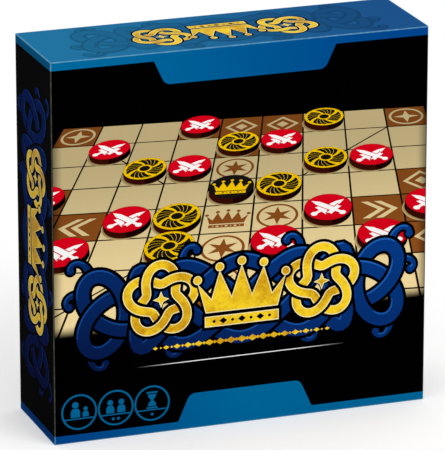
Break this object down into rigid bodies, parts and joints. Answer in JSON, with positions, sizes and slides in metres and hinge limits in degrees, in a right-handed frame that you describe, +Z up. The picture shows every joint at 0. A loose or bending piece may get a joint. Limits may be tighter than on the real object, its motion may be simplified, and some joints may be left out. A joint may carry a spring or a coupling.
{
  "type": "boxed hnefatafl travel set",
  "caption": "Upright cardboard lid-and-base carton holding a square tafl board, a die-cut tray of round playing discs and a folded rules sheet.",
  "frame": {"origin": "on the table, below the middle of the closed, upright carton", "axes": "+X to the right seen from the front, +Y from the lid's panel to the base's back, +Z up along the standing carton"},
  "size_m": [0.19, 0.055, 0.19],
  "materials": {
    "greyboard": "matt, recycled grey pulp",
    "lid_print": "printed in black, blue, tan and gold, satin laminate",
    "base_paper": "blue print, satin laminate",
    "insert_card": "matt, white-lined card",
    "deck_card": "matt, dark blue paper over card",
    "board_print": "tan print with a matt laminate",
    "lining_print": "tan print, matt",
    "rules_paper": "matt, uncoated",
    "disc_red": "red print on plywood, edge browned by the cut",
    "disc_yellow": "yellow print on plywood, edge browned by the cut",
    "disc_black": "black print on plywood, edge browned by the cut"
  },
  "bodies": {
    "base": {"base_board": "greyboard", "base_wrap": "base_paper"},
    "lid": {"lid_board": "greyboard", "lid_wrap": "lid_print"},
    "leaflet": {"rules_leaflet": "rules_paper"},
    "board": {"board_core": "greyboard", "board_face": "board_print", "board_lining": "lining_print"},
    "insert": {"insert_platform": "insert_card", "insert_deck": "deck_card"},
    "attacker_01_disc": {"attacker_01": "disc_red"},
    "attacker_02_disc": {"attacker_02": "disc_red"},
    "attacker_03_disc": {"attacker_03": "disc_red"},
    "attacker_04_disc": {"attacker_04": "disc_red"},
    "attacker_05_disc": {"attacker_05": "disc_red"},
    "attacker_06_disc": {"attacker_06": "disc_red"},
    "attacker_07_disc": {"attacker_07": "disc_red"},
    "attacker_08_disc": {"attacker_08": "disc_red"},
    "attacker_09_disc": {"attacker_09": "disc_red"},
    "attacker_10_disc": {"attacker_10": "disc_red"},
    "attacker_11_disc": {"attacker_11": "disc_red"},
    "attacker_12_disc": {"attacker_12": "disc_red"},
    "attacker_13_disc": {"attacker_13": "disc_red"},
    "attacker_14_disc": {"attacker_14": "disc_red"},
    "attacker_15_disc": {"attacker_15": "disc_red"},
    "attacker_16_disc": {"attacker_16": "disc_red"},
    "defender_01_disc": {"defender_01": "disc_yellow"},
    "defender_02_disc": {"defender_02": "disc_yellow"},
    "defender_03_disc": {"defender_03": "disc_yellow"},
    "defender_04_disc": {"defender_04": "disc_yellow"},
    "defender_05_disc": {"defender_05": "disc_yellow"},
    "defender_06_disc": {"defender_06": "disc_yellow"},
    "defender_07_disc": {"defender_07": "disc_yellow"},
    "defender_08_disc": {"defender_08": "disc_yellow"},
    "king_disc": {"king": "disc_black"}
  },
  "joints": [
    {"name": "lid_slide", "type": "slide", "parent": "base", "child": "lid", "axis": [0, -1, 0], "range_m": [0, 0.3]},
    {"name": "leaflet_lift", "type": "slide", "parent": "base", "child": "leaflet", "axis": [0, -1, 0], "range_m": [0, 0.225]},
    {"name": "board_lift", "type": "slide", "parent": "base", "child": "board", "axis": [0, -1, 0], "range_m": [0, 0.18]},
    {"name": "insert_lift", "type": "slide", "parent": "base", "child": "insert", "axis": [0, -1, 0], "range_m": [0, 0.075]},
    {"name": "attacker_01_lift", "type": "slide", "parent": "insert", "child": "attacker_01_disc", "axis": [0, -1, 0], "range_m": [0, 0.045]},
    {"name": "attacker_02_lift", "type": "slide", "parent": "insert", "child": "attacker_02_disc", "axis": [0, -1, 0], "range_m": [0, 0.045]},
    {"name": "attacker_03_lift", "type": "slide", "parent": "insert", "child": "attacker_03_disc", "axis": [0, -1, 0], "range_m": [0, 0.045]},
    {"name": "attacker_04_lift", "type": "slide", "parent": "insert", "child": "attacker_04_disc", "axis": [0, -1, 0], "range_m": [0, 0.045]},
    {"name": "attacker_05_lift", "type": "slide", "parent": "insert", "child": "attacker_05_disc", "axis": [0, -1, 0], "range_m": [0, 0.045]},
    {"name": "attacker_06_lift", "type": "slide", "parent": "insert", "child": "attacker_06_disc", "axis": [0, -1, 0], "range_m": [0, 0.045]},
    {"name": "attacker_07_lift", "type": "slide", "parent": "insert", "child": "attacker_07_disc", "axis": [0, -1, 0], "range_m": [0, 0.045]},
    {"name": "attacker_08_lift", "type": "slide", "parent": "insert", "child": "attacker_08_disc", "axis": [0, -1, 0], "range_m": [0, 0.045]},
    {"name": "attacker_09_lift", "type": "slide", "parent": "insert", "child": "attacker_09_disc", "axis": [0, -1, 0], "range_m": [0, 0.045]},
    {"name": "attacker_10_lift", "type": "slide", "parent": "insert", "child": "attacker_10_disc", "axis": [0, -1, 0], "range_m": [0, 0.045]},
    {"name": "attacker_11_lift", "type": "slide", "parent": "insert", "child": "attacker_11_disc", "axis": [0, -1, 0], "range_m": [0, 0.045]},
    {"name": "attacker_12_lift", "type": "slide", "parent": "insert", "child": "attacker_12_disc", "axis": [0, -1, 0], "range_m": [0, 0.045]},
    {"name": "attacker_13_lift", "type": "slide", "parent": "insert", "child": "attacker_13_disc", "axis": [0, -1, 0], "range_m": [0, 0.045]},
    {"name": "attacker_14_lift", "type": "slide", "parent": "insert", "child": "attacker_14_disc", "axis": [0, -1, 0], "range_m": [0, 0.045]},
    {"name": "attacker_15_lift", "type": "slide", "parent": "insert", "child": "attacker_15_disc", "axis": [0, -1, 0], "range_m": [0, 0.045]},
    {"name": "attacker_16_lift", "type": "slide", "parent": "insert", "child": "attacker_16_disc", "axis": [0, -1, 0], "range_m": [0, 0.045]},
    {"name": "defender_01_lift", "type": "slide", "parent": "insert", "child": "defender_01_disc", "axis": [0, -1, 0], "range_m": [0, 0.045]},
    {"name": "defender_02_lift", "type": "slide", "parent": "insert", "child": "defender_02_disc", "axis": [0, -1, 0], "range_m": [0, 0.045]},
    {"name": "defender_03_lift", "type": "slide", "parent": "insert", "child": "defender_03_disc", "axis": [0, -1, 0], "range_m": [0, 0.045]},
    {"name": "defender_04_lift", "type": "slide", "parent": "insert", "child": "defender_04_disc", "axis": [0, -1, 0], "range_m": [0, 0.045]},
    {"name": "defender_05_lift", "type": "slide", "parent": "insert", "child": "defender_05_disc", "axis": [0, -1, 0], "range_m": [0, 0.045]},
    {"name": "defender_06_lift", "type": "slide", "parent": "insert", "child": "defender_06_disc", "axis": [0, -1, 0], "range_m": [0, 0.045]},
    {"name": "defender_07_lift", "type": "slide", "parent": "insert", "child": "defender_07_disc", "axis": [0, -1, 0], "range_m": [0, 0.045]},
    {"name": "defender_08_lift", "type": "slide", "parent": "insert", "child": "defender_08_disc", "axis": [0, -1, 0], "range_m": [0, 0.045]},
    {"name": "king_lift", "type": "slide", "parent": "insert", "child": "king_disc", "axis": [0, -1, 0], "range_m": [0, 0.045]}
  ],
  "couplings": [
    {"joint": "leaflet_lift", "follows": "lid_slide", "ratio": 0.75},
    {"joint": "board_lift", "follows": "lid_slide", "ratio": 0.6},
    {"joint": "insert_lift", "follows": "lid_slide", "ratio": 0.25},
    {"joint": "attacker_01_lift", "follows": "lid_slide", "ratio": 0.15},
    {"joint": "attacker_02_lift", "follows": "lid_slide", "ratio": 0.15},
    {"joint": "attacker_03_lift", "follows": "lid_slide", "ratio": 0.15},
    {"joint": "attacker_04_lift", "follows": "lid_slide", "ratio": 0.15},
    {"joint": "attacker_05_lift", "follows": "lid_slide", "ratio": 0.15},
    {"joint": "attacker_06_lift", "follows": "lid_slide", "ratio": 0.15},
    {"joint": "attacker_07_lift", "follows": "lid_slide", "ratio": 0.15},
    {"joint": "attacker_08_lift", "follows": "lid_slide", "ratio": 0.15},
    {"joint": "attacker_09_lift", "follows": "lid_slide", "ratio": 0.15},
    {"joint": "attacker_10_lift", "follows": "lid_slide", "ratio": 0.15},
    {"joint": "attacker_11_lift", "follows": "lid_slide", "ratio": 0.15},
    {"joint": "attacker_12_lift", "follows": "lid_slide", "ratio": 0.15},
    {"joint": "attacker_13_lift", "follows": "lid_slide", "ratio": 0.15},
    {"joint": "attacker_14_lift", "follows": "lid_slide", "ratio": 0.15},
    {"joint": "attacker_15_lift", "follows": "lid_slide", "ratio": 0.15},
    {"joint": "attacker_16_lift", "follows": "lid_slide", "ratio": 0.15},
    {"joint": "defender_01_lift", "follows": "lid_slide", "ratio": 0.15},
    {"joint": "defender_02_lift", "follows": "lid_slide", "ratio": 0.15},
    {"joint": "defender_03_lift", "follows": "lid_slide", "ratio": 0.15},
    {"joint": "defender_04_lift", "follows": "lid_slide", "ratio": 0.15},
    {"joint": "defender_05_lift", "follows": "lid_slide", "ratio": 0.15},
    {"joint": "defender_06_lift", "follows": "lid_slide", "ratio": 0.15},
    {"joint": "defender_07_lift", "follows": "lid_slide", "ratio": 0.15},
    {"joint": "defender_08_lift", "follows": "lid_slide", "ratio": 0.15},
    {"joint": "king_lift", "follows": "lid_slide", "ratio": 0.15}
  ]
}
